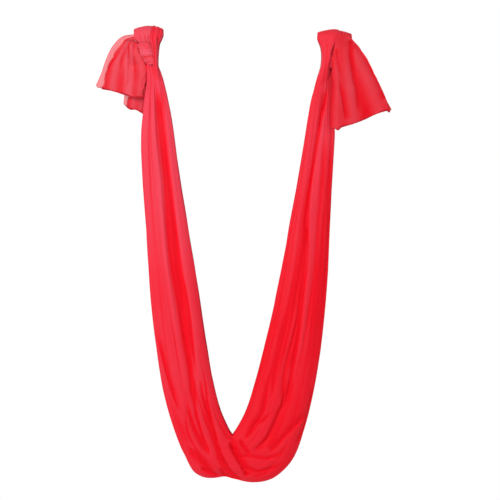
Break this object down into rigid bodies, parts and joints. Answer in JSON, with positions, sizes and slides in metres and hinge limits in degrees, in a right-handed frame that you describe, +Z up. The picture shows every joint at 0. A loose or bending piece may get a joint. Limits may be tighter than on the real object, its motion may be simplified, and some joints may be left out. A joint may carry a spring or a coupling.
{
  "type": "aerial yoga hammock",
  "caption": "Fabric sling hammock that hangs in a deep U from a knotted loop at each end, with loose tails beside the knots.",
  "frame": {"origin": "on the straight line through the two loops' eyes, halfway between the eyes", "axes": "+X along the line from the left eye to the right eye, +Z up, -Y towards the side the picture was taken from"},
  "size_m": [1.282, 0.166, 1.9085],
  "materials": {
    "sling_cloth": "red nylon tricot, fine knit, soft satin sheen",
    "knot_cloth": "red nylon tricot, pleated and pulled tight",
    "tail_cloth": "red nylon tricot in one or two layers, slightly sheer",
    "lining_cloth": "red nylon tricot in shade inside the eye",
    "hem": "rolled and overlocked edge of the same cloth"
  },
  "bodies": {
    "loop_linings": {"left_loop_lining": "lining_cloth", "right_loop_lining": "lining_cloth"},
    "hammock": {"left_loop": "knot_cloth", "right_loop": "knot_cloth", "left_hitch": "knot_cloth", "right_hitch": "knot_cloth", "left_neck": "knot_cloth", "right_neck": "knot_cloth", "middle_fold_left_leg": "sling_cloth", "middle_fold_seat": "sling_cloth", "middle_fold_right_leg": "sling_cloth"},
    "front_edge": {"front_edge_left_leg": "sling_cloth", "front_edge_seat": "sling_cloth", "front_edge_right_leg": "sling_cloth"},
    "front_fold": {"front_fold_left_leg": "sling_cloth", "front_fold_seat": "sling_cloth", "front_fold_right_leg": "sling_cloth"},
    "back_fold": {"back_fold_left_leg": "sling_cloth", "back_fold_seat": "sling_cloth", "back_fold_right_leg": "sling_cloth"},
    "back_edge": {"back_edge_left_leg": "sling_cloth", "back_edge_seat": "sling_cloth", "back_edge_right_leg": "sling_cloth"},
    "left_tail": {"left_tail_flap": "tail_cloth", "left_tail_under": "tail_cloth", "left_tail_flap_hem": "hem", "left_tail_under_hem": "hem"},
    "right_tail": {"right_tail_flap": "tail_cloth", "right_tail_under": "tail_cloth", "right_tail_flap_hem": "hem", "right_tail_under_hem": "hem"}
  },
  "joints": [
    {"name": "swing", "type": "hinge", "parent": "loop_linings", "child": "hammock", "pos_m": [0, 0, 0], "axis": [1, 0, 0], "range_deg": [-40, 40]},
    {"name": "front_fold_spread", "type": "hinge", "parent": "hammock", "child": "front_fold", "pos_m": [0, 0, -0.11], "axis": [-1, 0, 0], "range_deg": [0, 12]},
    {"name": "front_edge_spread", "type": "hinge", "parent": "front_fold", "child": "front_edge", "pos_m": [0, 0, -0.11], "axis": [-1, 0, 0], "range_deg": [0, 12]},
    {"name": "back_fold_spread", "type": "hinge", "parent": "hammock", "child": "back_fold", "pos_m": [0, 0, -0.11], "axis": [1, 0, 0], "range_deg": [0, 12]},
    {"name": "back_edge_spread", "type": "hinge", "parent": "back_fold", "child": "back_edge", "pos_m": [0, 0, -0.11], "axis": [1, 0, 0], "range_deg": [0, 12]},
    {"name": "left_tail_lift", "type": "hinge", "parent": "hammock", "child": "left_tail", "pos_m": [-0.44082, 0, -0.072], "axis": [0, 1, 0], "range_deg": [0, 50]},
    {"name": "right_tail_lift", "type": "hinge", "parent": "hammock", "child": "right_tail", "pos_m": [0.44082, 0, -0.072], "axis": [0, -1, 0], "range_deg": [0, 50]}
  ],
  "couplings": [
    {"joint": "front_edge_spread", "follows": "front_fold_spread", "ratio": 1},
    {"joint": "back_edge_spread", "follows": "back_fold_spread", "ratio": 1}
  ]
}
